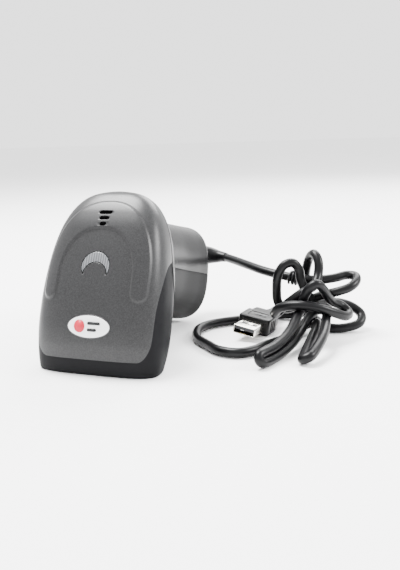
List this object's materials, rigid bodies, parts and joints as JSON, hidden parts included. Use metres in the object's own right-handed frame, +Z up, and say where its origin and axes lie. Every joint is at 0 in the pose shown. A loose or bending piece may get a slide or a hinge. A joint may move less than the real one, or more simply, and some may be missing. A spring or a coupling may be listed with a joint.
{
  "type": "handheld barcode scanner",
  "caption": "Gun-shaped handheld barcode scanner with a trigger, a domed head over a black nose bezel, an indicator lens, speaker slots and a tied lead with a USB plug.",
  "frame": {"origin": "bottom centre of the scanner as it lies on its nose rim and the foot of its handle, without the free lead; the table is z = 0", "axes": "+Z up, -Y out through the nose towards the front of the head, +Y towards the foot of the handle, +X to the side where the lead lies; the scanner is symmetric about x = 0"},
  "size_m": [0.14, 0.1296, 0.0796],
  "materials": {
    "metallic_grey": "satin metallic-flake grey paint on plastic",
    "smooth_grey": "smooth glossy grey",
    "black_plastic": "fine matte",
    "window_red": "polished filter acrylic",
    "clear_lens": "clear ribbed light pipe",
    "badge_white": "domed label",
    "steel": "bright",
    "plug_steel": "nickel plated",
    "component_black": "moulded",
    "plunger_red": "moulded",
    "cast_alloy": "die cast",
    "brass": "turned",
    "mirror": "front silvered",
    "coil_copper": "enamelled copper wire",
    "circuit_board": "solder mask",
    "cord_black": "satin PVC",
    "tie_black": "coated wire",
    "gold_contacts": "gold flash"
  },
  "bodies": {
    "housing": {"top_shell": "metallic_grey", "bottom_shell": "smooth_grey", "nose_bezel": "black_plastic", "handle_back": "smooth_grey", "handle_front": "smooth_grey", "scan_window": "window_red", "indicator_lens": "clear_lens", "badge": "badge_white", "trigger_pin": "steel", "trigger_spring": "steel", "switch_body": "component_black", "handle_frame": "black_plastic", "engine_bracket": "black_plastic", "engine_housing": "cast_alloy", "laser_barrel": "brass", "mirror_pin": "steel", "drive_coil": "coil_copper", "collecting_mirror": "mirror", "photodiode": "component_black", "head_board": "circuit_board", "status_led": "clear_lens", "beeper": "component_black", "main_board": "circuit_board", "board_chips": "component_black", "board_screws": "steel", "cable_socket": "component_black", "cable_plug": "clear_lens", "cable_boot": "cord_black", "cord_lead": "cord_black", "cord_bundle": "cord_black", "cord_loop": "cord_black", "cord_tie": "tie_black", "usb_overmold": "cord_black", "usb_shell": "plug_steel", "usb_tongue": "component_black", "usb_contacts": "gold_contacts", "usb_relief": "cord_black"},
    "trigger": {"trigger": "black_plastic"},
    "plunger": {"switch_plunger": "plunger_red"},
    "mirror": {"scan_mirror": "mirror"}
  },
  "joints": [
    {"name": "trigger_pull", "type": "hinge", "parent": "housing", "child": "trigger", "pos_m": [0, -0.01221, 0.03175], "axis": [1, 0, 0], "range_deg": [0, 4.5], "stiffness_Nm_per_rad": 0.6, "springref_deg": -5.73, "deforming": ["trigger_spring"]},
    {"name": "switch_press", "type": "slide", "parent": "housing", "child": "plunger", "axis": [0, 0.2756, 0.9613], "range_m": [0, 0.0012]},
    {"name": "mirror_swing", "type": "hinge", "parent": "housing", "child": "mirror", "pos_m": [-0.003, -0.03587, 0.03001], "axis": [0, 0.9205, -0.3907], "range_deg": [-8, 8], "stiffness_Nm_per_rad": 0.0002}
  ],
  "couplings": [
    {"joint": "switch_press", "follows": "trigger_pull", "m_per_rad": 0.014}
  ]
}
